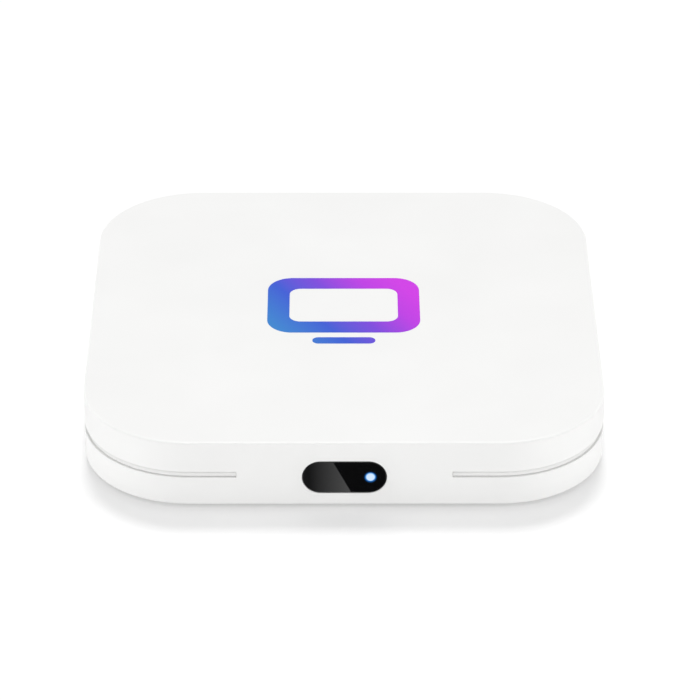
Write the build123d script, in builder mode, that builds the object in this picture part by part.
from build123d import *
import os

# A streaming media player: a flat white set-top box with its board, sockets and fasteners.
# It stands on four rubber feet. +Z is up and the front, with the infrared window, faces -Y. The origin is
# the middle of the footprint, on the surface that the feet stand on. All sizes are in millimetres.

os.makedirs("parts", exist_ok=True)

# ---- casing -------------------------------------------------------------------------------------
body_width = 105.0  # X
body_depth = 105.0  # Y
body_height = 14.3  # from the rim of the walls to the flat top
corner_radius = 21.6  # of the plan, outside
wall = 1.8
top_thickness = 1.6
top_edge_radius = 0.5
rim_edge_radius = 0.3
foot_standoff = 1.4  # how far the feet lift the walls off the table

base_thickness = 1.5
base_recess = 0.2  # the base cover sits this far inside the rim
base_gap = 0.15  # between the base cover's edge and the walls
base_edge_radius = 0.15

boss_inset = 13.5  # from the outside of the body to a screw's axis
boss_radius = 3.2
pilot_radius = 1.1
pilot_depth = 5.5
post_radius = 4.0  # the base cover's hollow posts, which carry the board

# ---- corner slots and their trims -----------------------------------------------------------------
slot_start = 21.4  # from the middle of the front to the square end of a slot
slot_height = 1.35
slot_drop = 6.7  # from the flat top down to the slot's upper lip
trim_setback = 0.45  # the trim's face is this far inside the walls
trim_top_gap = 0.04
trim_bottom_gap = 0.16
trim_end_gap = 0.05
trim_flange_thickness = 1.0
trim_flange_overlap = 0.9  # beyond the slot on every side, behind the wall

# ---- front window, light guide, infrared receiver and status light --------------------------------
window_width = 16.85
window_height = 7.4
window_drop = 8.0  # from the flat top to the window's middle
window_gap = 0.06
window_flange_overlap = 0.7
window_flange_thickness = 0.8
window_edge_radius = 0.2
window_setback = 0.05

guide_offset = 5.15  # the status light, right of the window's middle
guide_radius = 1.0
guide_gap = 0.04
guide_collar_radius = 1.6
guide_collar_length = 0.7
light_gap = 0.1  # between the light guide and the light

receiver_offset = -3.0  # the infrared receiver, left of the window's middle
receiver_width = 5.2
receiver_height = 4.8
receiver_depth = 2.4
receiver_dome_radius = 1.4
cage_thickness = 0.25
board_front_margin = 0.4  # from the board's front edge to what stands on it there
led_width = 3.0
led_depth = 1.6

# ---- screws and feet ------------------------------------------------------------------------------
screw_radius = 1.05
screw_length = 7.6  # under the head
screw_head_radius = 2.4
screw_head_height = 1.2
screw_head_edge = 0.4
screw_seat = 1.9  # from the underside of the base cover up to the screw's seat
screw_pocket_gap = 0.3  # round the head
screw_hole_gap = 0.5  # round the shank
recess_length = 2.6  # of the cross in the head
recess_width = 0.5
recess_depth = 0.7

foot_margin = 2.2  # from a foot to the rounded corner of the base cover
foot_pocket_depth = 0.35
foot_pocket_gap = 0.15
foot_edge_radius = 0.35

# ---- board and its components ---------------------------------------------------------------------
board_standoff = 2.1  # above the base cover
board_thickness = 1.2
board_edge_gap = 2.2  # from the walls
board_notch_gap = 0.3  # round the jacks that are sunk into the board

processor_x, processor_y = -6.0, 2.0
processor_size = 15.0
processor_height = 1.1
pad_size = 14.0
pad_thickness = 0.5
heatsink_size = 38.0
heatsink_base = 1.6
heatsink_fin = 1.0
heatsink_fin_count = 10
heatsink_headroom = 0.9  # under the top of the casing

transformer_size = (12.7, 9.4, 4.0)  # width, depth and height
transformer_gap = 8.0  # from the back of the Ethernet jack to the transformer's middle
inductor_size = (6.0, 6.0, 3.5)
inductor_places = (11.0, 19.0)  # along X
inductor_gap = 9.0  # from the back of the power jack to the inductors' middle

plain_packages = {  # middle in X and Y, then width, depth and height
    "memory_chip_1": (20.0, 7.5, 9.0, 13.0, 1.0),
    "memory_chip_2": (20.0, -7.5, 9.0, 13.0, 1.0),
    "storage_chip": (-34.0, 8.0, 11.5, 13.0, 1.0),
    "power_chip": (-34.0, 22.0, 6.0, 6.0, 0.9),
    "crystal": (-4.0, 27.0, 5.0, 3.2, 1.2),
}

passive_size = (1.6, 0.8, 0.45)
passive_pitch = (2.6, 1.7)
passive_groups = {(-12.0, -28.0): (8, 5), (0.0, 34.0): (6, 3)}  # middle of a group, then its columns and rows

capacitor_count = 3
capacitor_pitch = 8.0
capacitor_radius = 3.1
capacitor_height = 5.4
capacitor_base = 6.6
capacitor_base_height = 0.9
capacitor_wall_gap = 16.0  # from the outside of the right wall to the first capacitor's middle
capacitor_front_gap = 24.5  # from the outside of the front wall to the row's middle

wifi_x, wifi_y = -34.0, -12.0
wifi_board_size = 13.0
wifi_board_thickness = 0.8
wifi_can_size = 11.0
wifi_can_height = 1.7
wifi_can_wall = 0.2

antenna_x, antenna_y = -44.5, -9.0
antenna_length = 18.0
antenna_height = 5.0
antenna_thickness = 0.4
antenna_bar = 2.4  # height of the bar across the legs
antenna_leg = 1.6

# ---- sockets --------------------------------------------------------------------------------------
port_setback = 0.3  # from the outside of a wall to a socket's mouth
port_hole_gap = 0.25  # round a socket in its wall
port_row_gap = 3.2  # between neighbours in the rear row
shell_thickness = 0.3
shoulder_width = 1.0  # ledges of a sunk jack, which rest on the board
shoulder_height = 1.5
shoulder_start = 4.0  # behind the mouth

power_jack_width = 9.0
power_jack_height = 9.0
power_jack_depth = 13.0
power_jack_sink = 1.1  # below the underside of the board
power_bore_radius = 3.15
power_bore_depth = 10.0
power_pin_radius = 1.0
power_pin_recess = 1.2
power_pin_tip = 0.5
power_spring_width = 1.6
power_spring_thickness = 0.4
power_spring_length = 8.0

audio_jack_width = 6.6
audio_jack_height = 5.4
audio_jack_depth = 11.0
audio_nose_radius = 2.5
audio_nose_length = 3.0
audio_bore_radius = 1.8
audio_bore_depth = 13.0
audio_tab_length = 1.2
audio_tab_width = 1.5
audio_tab_thickness = 0.3
audio_tab_pitch = 5.0

hdmi_width = 14.0  # inside the shell
hdmi_height = 4.55
hdmi_foot_width = 10.2  # across the narrow lower side
hdmi_shoulder = 2.1  # height of the slanted lower sides
hdmi_depth = 11.5
hdmi_block = 3.5  # thickness of the insert behind the tongue
hdmi_tongue_width = 10.6
hdmi_tongue_thickness = 1.1
hdmi_tongue_recess = 1.2
hdmi_contact_counts = {1: 10, -1: 9}  # over and under the tongue
hdmi_contact_pitch = 1.0
hdmi_contact_width = 0.45
hdmi_contact_length = 4.6

lan_jack_width = 14.0
lan_jack_depth = 16.0
lan_jack_room = 0.2  # over and under the jack
lan_roof = 1.2
lan_socket_width = 11.9
lan_socket_height = 6.7
lan_socket_depth = 13.0
lan_latch_width = 6.2
lan_latch_height = 1.6
lan_wire_count = 8
lan_wire_pitch = 1.02
lan_wire = 0.35  # width and thickness
lan_wire_start = 3.0  # behind the mouth
lan_wire_end = 11.0
lan_wire_hold = 1.2  # length that lies along the roof
lan_wire_drop = 2.0

usb_width = 12.5  # inside the shell
usb_height = 5.12
usb_depth = 14.0
usb_block = 3.5
usb_tongue_width = 11.1
usb_tongue_thickness = 1.84
usb_tongue_recess = 1.6
usb_tongue_drop = 0.72  # from the shell's roof
usb_contact_count = 4
usb_contact_pitch = 2.4
usb_contact_width = 1.1
usb_contact_length = 6.8
contact_thickness = 0.15
contact_margin = 0.5  # from a tongue's tip to its contacts

card_width = 11.4  # inside the shell
card_height = 1.2
card_depth = 14.5
card_block = 2.0
card_contact_count = 8
card_contact_pitch = 1.1
card_contact_width = 0.7
card_contact_length = 4.0
card_contact_inset = 6.5  # from the mouth to the contacts

side_ports = {"card": -11.0, "usb_front": 5.0, "usb_rear": 22.0}  # along Y, in the right wall

# ---- recovery button ------------------------------------------------------------------------------
button_x, button_y = 33.0, -6.0
button_radius = 0.9
button_travel = 0.25
button_reach = 0.5  # how far the button stands out of its switch
button_gap = 0.03  # round the button in its switch
button_flange_radius = 1.3
button_flange_thickness = 0.3
button_end_room = 0.15  # over the pressed button
switch_width = 4.2
switch_depth = 3.4
switch_wall = 0.25
pinhole_radius = 0.8

# ---- vents and label ------------------------------------------------------------------------------
vent_length = 20.0
vent_width = 1.8
vent_pitch = 4.2
vent_count = 13
vent_y = 19.0

label_width = 46.0
label_height = 24.0
label_y = -17.0
label_thickness = 0.1
label_pocket_depth = 0.15
label_pocket_gap = 0.3

# ---- levels and places that follow from the sizes above -------------------------------------------
front_face = -body_depth / 2
rear_face = body_depth / 2
right_face = body_width / 2
body_bottom = foot_standoff
body_top = body_bottom + body_height
cavity_top = body_top - top_thickness
base_bottom = body_bottom + base_recess
base_top = base_bottom + base_thickness
board_bottom = base_top + board_standoff
board_top = board_bottom + board_thickness
board_front = front_face + wall + board_edge_gap
# from a screw's axis to the outside of the rounded corner
corner_room = corner_radius - 2**0.5 * max(corner_radius - boss_inset, 0)
foot_radius = corner_room - wall - base_gap - foot_margin
foot_top = base_bottom + foot_pocket_depth
screw_seat_z = base_bottom + screw_seat
boss_pitch_x = body_width - 2 * boss_inset
boss_pitch_y = body_depth - 2 * boss_inset
slot_top = body_top - slot_drop
slot_bottom = slot_top - slot_height
window_z = body_top - window_drop
light_front = board_front + board_front_margin
pad_bottom = board_top + processor_height
heatsink_bottom = pad_bottom + pad_thickness
heatsink_top = cavity_top - heatsink_headroom
fin_pitch = (heatsink_size - heatsink_fin) / (heatsink_fin_count - 1)
power_axis_z = board_bottom - power_jack_sink + power_jack_height / 2
audio_axis_z = board_top + audio_jack_height / 2
lan_bottom = base_top + lan_jack_room
lan_top = cavity_top - lan_jack_room
lan_socket_top = lan_top - lan_roof
hdmi_z = board_top + shell_thickness + hdmi_height / 2
usb_z = board_top + shell_thickness + usb_height / 2
card_z = board_top + shell_thickness + card_height / 2
button_top = board_bottom - switch_wall - button_end_room - button_travel
switch_bottom = button_top - button_flange_thickness - button_gap - switch_wall

# The rear row, from the left as seen from the front: each socket's outside width, then its place in X.
rear_widths = {
    "lan": lan_jack_width,
    "hdmi": hdmi_width + 2 * shell_thickness,
    "audio": audio_jack_width,
    "power": power_jack_width,
}
rear_ports = {}
next_x = -(sum(rear_widths.values()) + port_row_gap * (len(rear_widths) - 1)) / 2
for port_name, port_width in rear_widths.items():
    rear_ports[port_name] = next_x + port_width / 2
    next_x += port_width + port_row_gap


def rear_plane(x, z):
    """A plane in a rear port's mouth: local x is X, local y is up, and its normal points into the box."""
    return Plane(origin=(x, rear_face - port_setback, z), x_dir=(1, 0, 0), z_dir=(0, -1, 0))


def side_plane(y, z):
    """The same in the mouth of a port on the right-hand wall."""
    return Plane(origin=(right_face - port_setback, y, z), x_dir=(0, -1, 0), z_dir=(-1, 0, 0))


def front_plane(inset):
    """A plane parallel to the front, inset from its outside: local y is up, and its normal points out."""
    return Plane.XZ.offset(-front_face - inset)


standing = (Align.CENTER, Align.MIN)  # a rectangle on its lower side


def save(builder, name):
    """Labels the finished piece and writes it as one STEP file."""
    builder.part.label = name
    export_step(builder.part, f"parts/{name}.step")


def plan_sketch(inset, mode=Mode.ADD):
    """The body's rounded-square plan, inset by so much, in the sketch that is open."""
    return RectangleRounded(
        body_width - 2 * inset, body_depth - 2 * inset, corner_radius - inset, mode=mode
    )


def corner_sketch(outer_inset, inner_inset, start):
    """The band between two insets of the plan, round the right front corner only."""
    plan_sketch(outer_inset)
    plan_sketch(inner_inset, mode=Mode.SUBTRACT)
    with Locations((start, -start)):
        Rectangle(body_width, body_depth, align=(Align.MIN, Align.MAX), mode=Mode.INTERSECT)


def hdmi_sketch(grow=0.0, mode=Mode.ADD):
    """The outline of the HDMI socket's inside: a rectangle whose lower sides slant in."""
    half, foot, half_height = hdmi_width / 2, hdmi_foot_width / 2, hdmi_height / 2
    with BuildLine() as outline:
        Polyline(
            (-half, half_height),
            (half, half_height),
            (half, hdmi_shoulder - half_height),
            (foot, -half_height),
            (-foot, -half_height),
            (-half, hdmi_shoulder - half_height),
            close=True,
        )
    socket = Face(Wire(outline.edges()))
    if grow:
        socket = offset(socket, amount=grow, kind=Kind.INTERSECTION, mode=Mode.PRIVATE)
    add(socket, mode=mode)


def shell_sketch(width, height, gap):
    """The outside of a rectangular socket shell with these inside sizes, plus a gap all round."""
    margin = 2 * (shell_thickness + gap)
    return Rectangle(width + margin, height + margin)


def notch_sketch(width, depth):
    """The cut in the board for a sunk jack whose mouth is at this location."""
    return Rectangle(width + 2 * board_notch_gap, 2 * (depth + board_notch_gap), mode=Mode.SUBTRACT)


def save_block(name, x, y, z, size):
    """A plain rectangular piece that stands at z, with its width, depth and height in size."""
    width, depth, height = size
    with BuildPart() as block:
        with BuildSketch(Plane.XY.offset(z)):
            with Locations((x, y)):
                Rectangle(width, depth)
        extrude(amount=height)
    save(block, name)


# ---- top housing: the top and all four walls in one moulding --------------------------------------
with BuildPart() as top_housing:
    with BuildSketch(Plane.XY.offset(body_bottom)):
        plan_sketch(0)
    extrude(amount=body_height)
    fillet(top_housing.edges().group_by(Axis.Z)[-1], radius=top_edge_radius)
    fillet(top_housing.edges().group_by(Axis.Z)[0], radius=rim_edge_radius)
    with BuildSketch(Plane.XY.offset(body_bottom)):
        plan_sketch(wall)
    extrude(amount=cavity_top - body_bottom, mode=Mode.SUBTRACT)
    with BuildSketch(Plane.XY.offset(board_top)):
        with GridLocations(boss_pitch_x, boss_pitch_y, 2, 2):
            Circle(boss_radius)
    extrude(amount=cavity_top - board_top)
    with BuildSketch(Plane.XY.offset(board_top)):
        with GridLocations(boss_pitch_x, boss_pitch_y, 2, 2):
            Circle(pilot_radius)
    extrude(amount=pilot_depth, mode=Mode.SUBTRACT)
    with BuildSketch(front_plane(0)):
        with Locations((0, window_z)):
            SlotOverall(window_width, window_height)
    extrude(amount=-wall, mode=Mode.SUBTRACT)
    with BuildSketch(Plane.XY.offset(slot_bottom)):
        corner_sketch(0, wall, slot_start)
        mirror(about=Plane.YZ)
    extrude(amount=slot_height, mode=Mode.SUBTRACT)
    with BuildSketch(rear_plane(0, 0).offset(-port_setback)):
        with Locations((rear_ports["lan"], lan_bottom)):
            Rectangle(lan_jack_width + 2 * port_hole_gap, lan_top - lan_bottom, align=standing)
        with Locations((rear_ports["hdmi"], hdmi_z)):
            hdmi_sketch(grow=shell_thickness + port_hole_gap)
        with Locations((rear_ports["audio"], audio_axis_z)):
            Circle(audio_nose_radius + port_hole_gap)
        with Locations((rear_ports["power"], power_axis_z)):
            Rectangle(power_jack_width + 2 * port_hole_gap, power_jack_height + 2 * port_hole_gap)
    extrude(amount=wall, mode=Mode.SUBTRACT)
    with BuildSketch(side_plane(0, 0).offset(-port_setback)):
        with Locations((-side_ports["usb_front"], usb_z), (-side_ports["usb_rear"], usb_z)):
            shell_sketch(usb_width, usb_height, port_hole_gap)
        with Locations((-side_ports["card"], card_z)):
            shell_sketch(card_width, card_height, port_hole_gap)
    extrude(amount=wall, mode=Mode.SUBTRACT)
save(top_housing, "top_housing")

# ---- base cover: a plate inside the walls, with hollow posts that carry the board -----------------
with BuildPart() as base_cover:
    with BuildSketch(Plane.XY.offset(base_bottom)):
        plan_sketch(wall + base_gap)
    extrude(amount=base_thickness)
    fillet(base_cover.edges().group_by(Axis.Z)[0], radius=base_edge_radius)
    with BuildSketch(Plane.XY.offset(base_top)):
        with GridLocations(boss_pitch_x, boss_pitch_y, 2, 2):
            Circle(post_radius)
    extrude(amount=board_standoff)
    with BuildSketch(Plane.XY.offset(base_bottom)):
        with GridLocations(boss_pitch_x, boss_pitch_y, 2, 2):
            Circle(foot_radius + foot_pocket_gap)
    extrude(amount=foot_pocket_depth, mode=Mode.SUBTRACT)
    with BuildSketch(Plane.XY.offset(base_bottom)):
        with GridLocations(boss_pitch_x, boss_pitch_y, 2, 2):
            Circle(screw_head_radius + screw_pocket_gap)
    extrude(amount=screw_seat, mode=Mode.SUBTRACT)
    with BuildSketch(Plane.XY.offset(base_bottom)):
        with GridLocations(boss_pitch_x, boss_pitch_y, 2, 2):
            Circle(screw_radius + screw_hole_gap)
    extrude(amount=board_bottom - base_bottom, mode=Mode.SUBTRACT)
    with BuildSketch(Plane.XY.offset(base_bottom)):
        with Locations((0, vent_y)):
            with GridLocations(vent_pitch, 0, vent_count, 1):
                SlotOverall(vent_length, vent_width, rotation=90)
        with Locations((button_x, button_y)):
            Circle(pinhole_radius)
    extrude(amount=base_thickness, mode=Mode.SUBTRACT)
    with BuildSketch(Plane.XY.offset(base_bottom)):
        with Locations((0, label_y)):
            Rectangle(label_width + 2 * label_pocket_gap, label_height + 2 * label_pocket_gap)
    extrude(amount=label_pocket_depth, mode=Mode.SUBTRACT)
save(base_cover, "base_cover")

with BuildPart() as rating_label:
    with BuildSketch(Plane.XY.offset(base_bottom + label_pocket_depth)):
        with Locations((0, label_y)):
            Rectangle(label_width, label_height)
    extrude(amount=-label_thickness)
save(rating_label, "rating_label")

# ---- feet, and the screws that they cover ---------------------------------------------------------
corners = {"front_left": (-1, -1), "front_right": (1, -1), "rear_left": (-1, 1), "rear_right": (1, 1)}
for corner, (side_x, side_y) in corners.items():
    with BuildPart() as foot:
        with BuildSketch():
            with Locations((side_x * boss_pitch_x / 2, side_y * boss_pitch_y / 2)):
                Circle(foot_radius)
        extrude(amount=foot_top)
        fillet(foot.edges().group_by(Axis.Z)[0], radius=foot_edge_radius)
    save(foot, f"foot_{corner}")

with BuildPart() as case_screws:
    with BuildSketch(Plane.XY.offset(screw_seat_z)):
        with GridLocations(boss_pitch_x, boss_pitch_y, 2, 2):
            Circle(screw_head_radius)
    extrude(amount=-screw_head_height)
    fillet(case_screws.edges().group_by(Axis.Z)[0], radius=screw_head_edge)
    with BuildSketch(Plane.XY.offset(screw_seat_z)):
        with GridLocations(boss_pitch_x, boss_pitch_y, 2, 2):
            Circle(screw_radius)
    extrude(amount=screw_length)
    with BuildSketch(Plane.XY.offset(screw_seat_z - screw_head_height)):
        with GridLocations(boss_pitch_x, boss_pitch_y, 2, 2):
            Rectangle(recess_length, recess_width)
            Rectangle(recess_width, recess_length)
    extrude(amount=recess_depth, mode=Mode.SUBTRACT)
save(case_screws, "case_screws")

# ---- trims that close the corner slots from inside, with a T section ------------------------------
with BuildPart() as side_trim_right:
    with BuildSketch(Plane.XY.offset(slot_bottom + trim_bottom_gap)):
        corner_sketch(trim_setback, wall, slot_start + trim_end_gap)
    extrude(amount=slot_height - trim_bottom_gap - trim_top_gap)
    with BuildSketch(Plane.XY.offset(slot_bottom - trim_flange_overlap)):
        corner_sketch(wall, wall + trim_flange_thickness, slot_start - trim_flange_overlap)
    extrude(amount=slot_height + 2 * trim_flange_overlap)
save(side_trim_right, "side_trim_right")

with BuildPart() as side_trim_left:
    mirror(side_trim_right.part, about=Plane.YZ)
save(side_trim_left, "side_trim_left")

# ---- infrared window, with the light guide through it ---------------------------------------------
with BuildPart() as ir_window:
    with BuildSketch(front_plane(window_setback)):
        with Locations((0, window_z)):
            SlotOverall(window_width - 2 * window_gap, window_height - 2 * window_gap)
    extrude(amount=window_setback - wall)
    fillet(ir_window.edges().group_by(Axis.Y)[0], radius=window_edge_radius)
    with BuildSketch(front_plane(wall)):
        with Locations((0, window_z)):
            SlotOverall(window_width + 2 * window_flange_overlap, window_height + 2 * window_flange_overlap)
    extrude(amount=-window_flange_thickness)
    with BuildSketch(front_plane(0)):
        with Locations((guide_offset, window_z)):
            Circle(guide_radius + guide_gap)
    extrude(amount=-wall - window_flange_thickness, mode=Mode.SUBTRACT)
save(ir_window, "ir_window")

with BuildPart() as status_light_guide:
    with BuildSketch(front_plane(window_setback)):
        with Locations((guide_offset, window_z)):
            Circle(guide_radius)
    extrude(amount=front_face + window_setback + light_gap - light_front)
    with BuildSketch(front_plane(wall + window_flange_thickness)):
        with Locations((guide_offset, window_z)):
            Circle(guide_collar_radius)
    extrude(amount=-guide_collar_length)
save(status_light_guide, "status_light_guide")

# ---- what looks out through the window ------------------------------------------------------------
with BuildPart() as status_led:
    with BuildSketch(Plane.XY.offset(board_top)):
        with Locations((guide_offset, light_front)):
            Rectangle(led_width, led_depth, align=(Align.CENTER, Align.MIN))
    extrude(amount=2 * (window_z - board_top))
save(status_led, "status_led")

with BuildPart() as ir_receiver:
    with BuildSketch(Plane.XY.offset(board_top)):
        with Locations((receiver_offset, light_front)):
            Rectangle(receiver_width, receiver_depth, align=(Align.CENTER, Align.MIN))
    extrude(amount=receiver_height)
    with Locations((receiver_offset, light_front, board_top + receiver_height / 2)):
        Sphere(receiver_dome_radius)
save(ir_receiver, "ir_receiver")

with BuildPart() as ir_receiver_cage:
    with BuildSketch(Plane.XY.offset(board_top)):
        with Locations((receiver_offset, light_front)):
            Rectangle(
                receiver_width + 2 * cage_thickness,
                receiver_depth + cage_thickness,
                align=(Align.CENTER, Align.MIN),
            )
    extrude(amount=receiver_height + cage_thickness)
    with BuildSketch(Plane.XY.offset(board_top)):
        with Locations((receiver_offset, light_front)):
            Rectangle(receiver_width, receiver_depth, align=(Align.CENTER, Align.MIN))
    extrude(amount=receiver_height, mode=Mode.SUBTRACT)
save(ir_receiver_cage, "ir_receiver_cage")

# ---- main board -----------------------------------------------------------------------------------
with BuildPart() as main_board:
    with BuildSketch(Plane.XY.offset(board_bottom)):
        plan_sketch(wall + board_edge_gap)
        with GridLocations(boss_pitch_x, boss_pitch_y, 2, 2):
            Circle(screw_radius + screw_hole_gap, mode=Mode.SUBTRACT)
        with Locations((rear_ports["lan"], rear_face - port_setback)):
            notch_sketch(lan_jack_width, lan_jack_depth)
        with Locations((rear_ports["power"], rear_face - port_setback)):
            notch_sketch(power_jack_width, power_jack_depth)
    extrude(amount=board_thickness)
save(main_board, "main_board")

# ---- processor, thermal pad and finned heatsink ---------------------------------------------------
processor_block = (processor_size, processor_size, processor_height)
save_block("processor", processor_x, processor_y, board_top, processor_block)
save_block("thermal_pad", processor_x, processor_y, pad_bottom, (pad_size, pad_size, pad_thickness))

with BuildPart() as heatsink:
    with BuildSketch(Plane.XY.offset(heatsink_bottom)):
        with Locations((processor_x, processor_y)):
            Rectangle(heatsink_size, heatsink_size)
    extrude(amount=heatsink_base)
    with BuildSketch(Plane.XY.offset(heatsink_bottom + heatsink_base)):
        with Locations((processor_x, processor_y)):
            with GridLocations(fin_pitch, 0, heatsink_fin_count, 1):
                Rectangle(heatsink_fin, heatsink_size)
    extrude(amount=heatsink_top - heatsink_bottom - heatsink_base)
save(heatsink, "heatsink")

# ---- plain packages, the small chip parts and the capacitors ----------------------------------------
for package_name, (package_x, package_y, *package_size) in plain_packages.items():
    save_block(package_name, package_x, package_y, board_top, package_size)

transformer_y = rear_face - port_setback - lan_jack_depth - transformer_gap
save_block("ethernet_transformer", rear_ports["lan"], transformer_y, board_top, transformer_size)
inductor_y = rear_face - port_setback - power_jack_depth - inductor_gap
for number, inductor_x in enumerate(inductor_places, 1):
    save_block(f"inductor_{number}", inductor_x, inductor_y, board_top, inductor_size)

with BuildPart() as chip_passives:
    passive_width, passive_depth, passive_height = passive_size
    with BuildSketch(Plane.XY.offset(board_top)):
        for group_middle, (columns, rows) in passive_groups.items():
            with Locations(group_middle):
                with GridLocations(*passive_pitch, columns, rows):
                    Rectangle(passive_width, passive_depth)
    extrude(amount=passive_height)
save(chip_passives, "chip_passives")

for number in range(capacitor_count):
    with BuildPart() as capacitor:
        capacitor_x = right_face - capacitor_wall_gap - number * capacitor_pitch
        with BuildSketch(Plane.XY.offset(board_top)):
            with Locations((capacitor_x, front_face + capacitor_front_gap)):
                Rectangle(capacitor_base, capacitor_base)
        extrude(amount=capacitor_base_height)
        with BuildSketch(Plane.XY.offset(board_top + capacitor_base_height)):
            with Locations((capacitor_x, front_face + capacitor_front_gap)):
                Circle(capacitor_radius)
        extrude(amount=capacitor_height - capacitor_base_height)
    save(capacitor, f"capacitor_{number + 1}")

# ---- wireless module, its shield and the stamped antenna ------------------------------------------
save_block("wifi_module", wifi_x, wifi_y, board_top, (wifi_board_size, wifi_board_size, wifi_board_thickness))

with BuildPart() as wifi_shield:
    with BuildSketch(Plane.XY.offset(board_top + wifi_board_thickness)):
        with Locations((wifi_x, wifi_y)):
            Rectangle(wifi_can_size, wifi_can_size)
    extrude(amount=wifi_can_height)
    with BuildSketch(Plane.XY.offset(board_top + wifi_board_thickness)):
        with Locations((wifi_x, wifi_y)):
            Rectangle(wifi_can_size - 2 * wifi_can_wall, wifi_can_size - 2 * wifi_can_wall)
    extrude(amount=wifi_can_height - wifi_can_wall, mode=Mode.SUBTRACT)
save(wifi_shield, "wifi_shield")

with BuildPart() as wifi_antenna:
    with BuildSketch(Plane.YZ.offset(antenna_x)):
        with Locations((antenna_y, board_top)):
            Rectangle(antenna_length, antenna_height, align=standing)
            Rectangle(
                antenna_length - 2 * antenna_leg,
                antenna_height - antenna_bar,
                align=standing,
                mode=Mode.SUBTRACT,
            )
    extrude(amount=antenna_thickness)
save(wifi_antenna, "wifi_antenna")

# ---- recovery switch under the board, and its button ----------------------------------------------
with BuildPart() as recovery_switch:
    with BuildSketch(Plane.XY.offset(switch_bottom)):
        with Locations((button_x, button_y)):
            Rectangle(switch_width, switch_depth)
            Circle(button_radius + button_gap, mode=Mode.SUBTRACT)
    extrude(amount=board_bottom - switch_bottom)
    with BuildSketch(Plane.XY.offset(switch_bottom + switch_wall)):
        with Locations((button_x, button_y)):
            Rectangle(switch_width - 2 * switch_wall, switch_depth - 2 * switch_wall)
    extrude(amount=board_bottom - switch_bottom - 2 * switch_wall, mode=Mode.SUBTRACT)
    with BuildSketch(Plane.XY.offset(board_bottom - switch_wall)):
        with Locations((button_x, button_y)):
            Rectangle(switch_width, switch_depth)
    extrude(amount=switch_wall)
save(recovery_switch, "recovery_switch")

with BuildPart() as recovery_button:
    with BuildSketch(Plane.XY.offset(button_top)):
        with Locations((button_x, button_y)):
            Circle(button_flange_radius)
    extrude(amount=-button_flange_thickness)
    with BuildSketch(Plane.XY.offset(switch_bottom - button_reach)):
        with Locations((button_x, button_y)):
            Circle(button_radius)
    extrude(amount=button_top - switch_bottom + button_reach)
save(recovery_button, "recovery_button")

# ---- power jack -----------------------------------------------------------------------------------
power_mouth = rear_plane(rear_ports["power"], power_axis_z)
with BuildPart() as power_jack:
    with BuildSketch(power_mouth):
        Rectangle(power_jack_width, power_jack_height)
    extrude(amount=power_jack_depth)
    with BuildSketch(rear_plane(rear_ports["power"], board_top).offset(shoulder_start)):
        Rectangle(power_jack_width + 2 * shoulder_width, shoulder_height, align=standing)
    extrude(amount=power_jack_depth - shoulder_start)
    with BuildSketch(power_mouth):
        Circle(power_bore_radius)
    extrude(amount=power_bore_depth, mode=Mode.SUBTRACT)
    with BuildSketch(power_mouth.offset(power_bore_depth - power_spring_length)):
        with Locations((0, -power_bore_radius)):
            Rectangle(power_spring_width, 2 * power_spring_thickness)
    extrude(amount=power_spring_length, mode=Mode.SUBTRACT)
save(power_jack, "power_jack")

with BuildPart() as power_jack_pin:
    with BuildSketch(power_mouth.offset(power_pin_recess)):
        Circle(power_pin_radius)
    extrude(amount=power_bore_depth - power_pin_recess)
    fillet(power_jack_pin.edges().group_by(Axis.Y)[-1], radius=power_pin_tip)
save(power_jack_pin, "power_jack_pin")

with BuildPart() as power_jack_spring:
    with BuildSketch(power_mouth.offset(power_bore_depth - power_spring_length)):
        with Locations((0, -power_bore_radius - power_spring_thickness)):
            Rectangle(power_spring_width, power_spring_thickness, align=standing)
    extrude(amount=power_spring_length)
save(power_jack_spring, "power_jack_spring")

# ---- audio and video jack -------------------------------------------------------------------------
audio_mouth = rear_plane(rear_ports["audio"], audio_axis_z)
with BuildPart() as audio_jack:
    with BuildSketch(audio_mouth.offset(audio_nose_length)):
        Rectangle(audio_jack_width, audio_jack_height)
    extrude(amount=audio_jack_depth)
    with BuildSketch(audio_mouth):
        Circle(audio_nose_radius)
    extrude(amount=audio_nose_length)
    with BuildSketch(audio_mouth):
        Circle(audio_bore_radius)
    extrude(amount=audio_bore_depth, mode=Mode.SUBTRACT)
save(audio_jack, "audio_jack")

audio_middle_y = rear_face - port_setback - audio_nose_length - audio_jack_depth / 2
with BuildPart() as audio_jack_tabs:
    with BuildSketch(Plane.XY.offset(board_top)):
        with Locations((rear_ports["audio"], audio_middle_y)):
            with GridLocations(audio_jack_width + audio_tab_length, audio_tab_pitch, 2, 2):
                Rectangle(audio_tab_length, audio_tab_width)
    extrude(amount=audio_tab_thickness)
save(audio_jack_tabs, "audio_jack_tabs")

# ---- HDMI socket ----------------------------------------------------------------------------------
hdmi_mouth = rear_plane(rear_ports["hdmi"], hdmi_z)
with BuildPart() as hdmi_shell:
    with BuildSketch(hdmi_mouth):
        hdmi_sketch(grow=shell_thickness)
        hdmi_sketch(mode=Mode.SUBTRACT)
    extrude(amount=hdmi_depth)
save(hdmi_shell, "hdmi_shell")

with BuildPart() as hdmi_insert:
    with BuildSketch(hdmi_mouth.offset(hdmi_depth - hdmi_block)):
        hdmi_sketch()
    extrude(amount=hdmi_block)
    with BuildSketch(hdmi_mouth.offset(hdmi_tongue_recess)):
        Rectangle(hdmi_tongue_width, hdmi_tongue_thickness)
    extrude(amount=hdmi_depth - hdmi_block - hdmi_tongue_recess)
save(hdmi_insert, "hdmi_insert")

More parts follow.
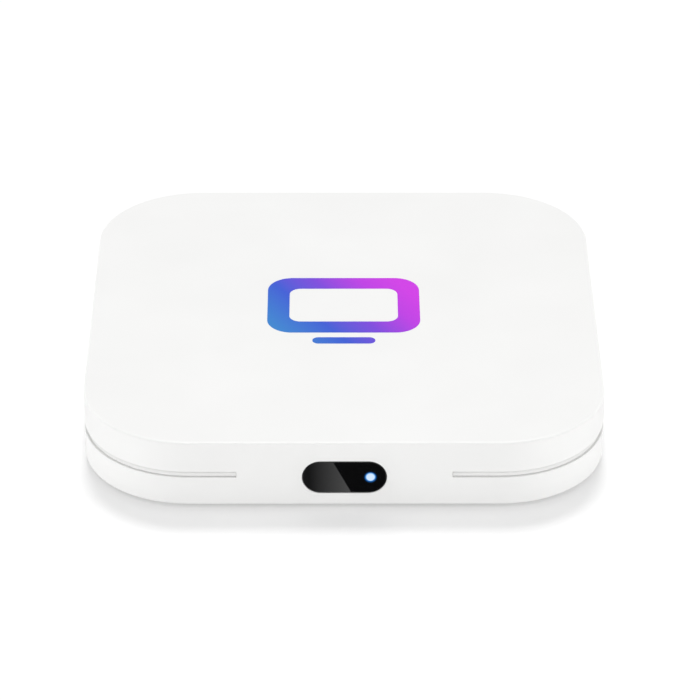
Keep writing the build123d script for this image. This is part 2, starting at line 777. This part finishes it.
with BuildPart() as hdmi_contacts:
    with BuildSketch(hdmi_mouth.offset(hdmi_tongue_recess + contact_margin)):
        for side, contact_count in hdmi_contact_counts.items():
            with Locations((0, side * (hdmi_tongue_thickness + contact_thickness) / 2)):
                with GridLocations(hdmi_contact_pitch, 0, contact_count, 1):
                    Rectangle(hdmi_contact_width, contact_thickness)
    extrude(amount=hdmi_contact_length)
save(hdmi_contacts, "hdmi_contacts")

# ---- Ethernet jack --------------------------------------------------------------------------------
lan_mouth = rear_plane(rear_ports["lan"], lan_socket_top - lan_socket_height)
with BuildPart() as ethernet_jack:
    with BuildSketch(rear_plane(rear_ports["lan"], lan_bottom)):
        Rectangle(lan_jack_width, lan_top - lan_bottom, align=standing)
    extrude(amount=lan_jack_depth)
    with BuildSketch(rear_plane(rear_ports["lan"], board_top).offset(shoulder_start)):
        Rectangle(lan_jack_width + 2 * shoulder_width, shoulder_height, align=standing)
    extrude(amount=lan_jack_depth - shoulder_start)
    with BuildSketch(lan_mouth):
        Rectangle(lan_socket_width, lan_socket_height, align=standing)
        Rectangle(lan_latch_width, lan_latch_height, align=(Align.CENTER, Align.MAX))
    extrude(amount=lan_socket_depth, mode=Mode.SUBTRACT)
save(ethernet_jack, "ethernet_jack")

with BuildPart() as ethernet_contacts:
    for number in range(lan_wire_count):
        wire_x = rear_ports["lan"] + (number - (lan_wire_count - 1) / 2) * lan_wire_pitch
        wire_start = (wire_x, rear_face - port_setback - lan_wire_start, lan_socket_top)
        with BuildSketch(Plane(origin=wire_start, x_dir=(0, -1, 0), z_dir=(-1, 0, 0))):
            with BuildLine():
                Polyline(
                    (0, 0),
                    (lan_wire_hold, 0),
                    (lan_wire_end - lan_wire_start, lan_wire - lan_wire_drop),
                    (lan_wire_end - lan_wire_start, -lan_wire_drop),
                    (0, -lan_wire),
                    close=True,
                )
            make_face()
        extrude(amount=lan_wire / 2, both=True)
save(ethernet_contacts, "ethernet_contacts")


# ---- USB sockets ----------------------------------------------------------------------------------
def usb_socket(name):
    """One USB socket in the right wall: its shell, its insert with a tongue, and the contacts under it."""
    mouth = side_plane(side_ports[name], usb_z)
    tongue_top = usb_height / 2 - usb_tongue_drop
    with BuildPart() as shell:
        with BuildSketch(mouth):
            shell_sketch(usb_width, usb_height, 0)
            Rectangle(usb_width, usb_height, mode=Mode.SUBTRACT)
        extrude(amount=usb_depth)
    save(shell, f"{name}_shell")
    with BuildPart() as insert:
        with BuildSketch(mouth.offset(usb_depth - usb_block)):
            Rectangle(usb_width, usb_height)
        extrude(amount=usb_block)
        with BuildSketch(mouth.offset(usb_tongue_recess)):
            with Locations((0, tongue_top)):
                Rectangle(usb_tongue_width, usb_tongue_thickness, align=(Align.CENTER, Align.MAX))
        extrude(amount=usb_depth - usb_block - usb_tongue_recess)
    save(insert, f"{name}_insert")
    with BuildPart() as contacts:
        with BuildSketch(mouth.offset(usb_tongue_recess + contact_margin)):
            with Locations((0, tongue_top - usb_tongue_thickness - contact_thickness / 2)):
                with GridLocations(usb_contact_pitch, 0, usb_contact_count, 1):
                    Rectangle(usb_contact_width, contact_thickness)
        extrude(amount=usb_contact_length)
    save(contacts, f"{name}_contacts")


usb_socket("usb_front")
usb_socket("usb_rear")

# ---- memory card socket ---------------------------------------------------------------------------
card_mouth = side_plane(side_ports["card"], card_z)
with BuildPart() as card_shell:
    with BuildSketch(card_mouth):
        shell_sketch(card_width, card_height, 0)
        Rectangle(card_width, card_height, mode=Mode.SUBTRACT)
    extrude(amount=card_depth)
save(card_shell, "card_shell")

with BuildPart() as card_insert:
    with BuildSketch(card_mouth.offset(card_depth - card_block)):
        Rectangle(card_width, card_height)
    extrude(amount=card_block)
save(card_insert, "card_insert")

with BuildPart() as card_contacts:
    with BuildSketch(card_mouth.offset(card_contact_inset)):
        with Locations((0, (contact_thickness - card_height) / 2)):
            with GridLocations(card_contact_pitch, 0, card_contact_count, 1):
                Rectangle(card_contact_width, contact_thickness)
    extrude(amount=card_contact_length)
save(card_contacts, "card_contacts")
